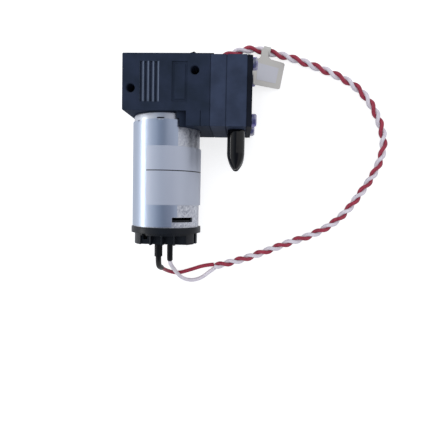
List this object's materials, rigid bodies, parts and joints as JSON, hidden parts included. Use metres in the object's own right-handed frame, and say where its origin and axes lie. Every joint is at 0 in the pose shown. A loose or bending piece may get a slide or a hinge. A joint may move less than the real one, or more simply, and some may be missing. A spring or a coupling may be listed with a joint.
{
  "type": "diaphragm vacuum pump",
  "caption": "Miniature DC diaphragm vacuum pump: boxy crank housing and layered head, hose nozzles under push-on caps, round can motor, twisted leads with a flag tag.",
  "frame": {"origin": "axis of the left mounting hole at the housing's back face", "axes": "+Z out of the front face along the mounting holes, +X towards the pump head, -Y along the motor away from the housing"},
  "size_m": [0.1101, 0.1057, 0.03],
  "materials": {
    "housing_plastic": "moulded black glass-filled plastic, fine texture",
    "head_plastic": "moulded dark grey plastic, semi-matte",
    "screw_steel": "zinc-plated steel",
    "cap_vinyl": "glossy dipped vinyl",
    "zinc_can": "galvanised deep-drawn steel",
    "ring_steel": "bright plated steel sheet",
    "label_foil": "blank silver foil label",
    "motor_plastic": "moulded black plastic",
    "magnet_ferrite": "sintered ferrite",
    "sintered_bronze": "oil-filled sintered bronze",
    "ground_steel": "ground steel",
    "core_steel": "stacked laminations",
    "copper_wire": "enamelled copper wire",
    "copper": "bare copper",
    "carbon": "pressed carbon-graphite",
    "spring_steel": "drawn steel wire",
    "terminal_brass": "tinned brass",
    "black_rubber": "moulded elastomer",
    "rod_plastic": "natural moulded plastic",
    "hub_alloy": "turned light alloy",
    "shrink_tube": "semi-matte shrunk tubing",
    "red_pvc": "soft red wire insulation",
    "white_pvc": "soft white wire insulation",
    "pair_pvc": "red and white wire insulation",
    "connector_plastic": "moulded black plastic",
    "tag_film": "translucent flag film",
    "paper": "plain paper insert"
  },
  "bodies": {
    "pump_body": {"pump_housing": "housing_plastic", "crankcase_cover": "housing_plastic", "motor_screws": "screw_steel", "diaphragm": "black_rubber", "intermediate_plate": "head_plastic", "valve_seals": "black_rubber", "head_plate": "head_plastic", "end_cover": "housing_plastic", "head_screws": "screw_steel", "motor_can": "zinc_can", "flux_ring": "ring_steel", "rating_label": "label_foil", "magnet_left": "magnet_ferrite", "magnet_right": "magnet_ferrite", "front_bushing": "sintered_bronze", "rear_bushing": "sintered_bronze", "brushes": "carbon", "brush_springs": "spring_steel", "brush_cap": "motor_plastic", "terminals": "terminal_brass", "red_sleeve": "shrink_tube", "white_sleeve": "shrink_tube", "red_lead": "red_pvc", "white_lead": "white_pvc", "lead_pair": "pair_pvc", "lead_connector": "connector_plastic", "connector_contacts": "terminal_brass", "wire_tag": "tag_film", "tag_paper": "paper"},
    "rotor": {"eccentric": "hub_alloy", "eccentric_set_screw": "ground_steel", "crank_bearing_inner": "ground_steel", "crank_bearing_balls": "ground_steel", "motor_shaft": "ground_steel", "rotor_core": "core_steel", "rotor_winding": "copper_wire", "commutator_hub": "motor_plastic", "commutator": "copper"},
    "rod": {"crank_bearing_outer": "ground_steel", "connecting_rod": "rod_plastic", "clamp_disc": "ground_steel", "rod_screw": "screw_steel"},
    "intake_disc": {"intake_valve": "black_rubber"},
    "discharge_disc": {"discharge_valve": "black_rubber"},
    "inlet_cap": {"inlet_cap": "cap_vinyl"},
    "outlet_cap": {"outlet_cap": "cap_vinyl"}
  },
  "joints": [
    {"name": "rotor_spin", "type": "hinge", "parent": "pump_body", "child": "rotor", "pos_m": [0.0119, -0.0005, 0.015], "axis": [0, -1, 0], "continuous": true, "deforming": ["diaphragm"]},
    {"name": "rod_pivot", "type": "hinge", "parent": "rotor", "child": "rod", "pos_m": [0.0107, -0.0005, 0.015], "axis": [0, -1, 0], "continuous": true, "deforming": ["diaphragm"]},
    {"name": "intake_valve_lift", "type": "slide", "parent": "pump_body", "child": "intake_disc", "axis": [-1, 0, 0], "range_m": [0, 0.0004]},
    {"name": "discharge_valve_lift", "type": "slide", "parent": "pump_body", "child": "discharge_disc", "axis": [1, 0, 0], "range_m": [0, 0.0004]},
    {"name": "inlet_cap_pull", "type": "slide", "parent": "pump_body", "child": "inlet_cap", "axis": [0, -1, 0], "range_m": [0, 0.013]},
    {"name": "outlet_cap_pull", "type": "slide", "parent": "pump_body", "child": "outlet_cap", "axis": [0, -1, 0], "range_m": [0, 0.013]}
  ],
  "couplings": [
    {"joint": "rod_pivot", "follows": "rotor_spin", "ratio": -1}
  ]
}
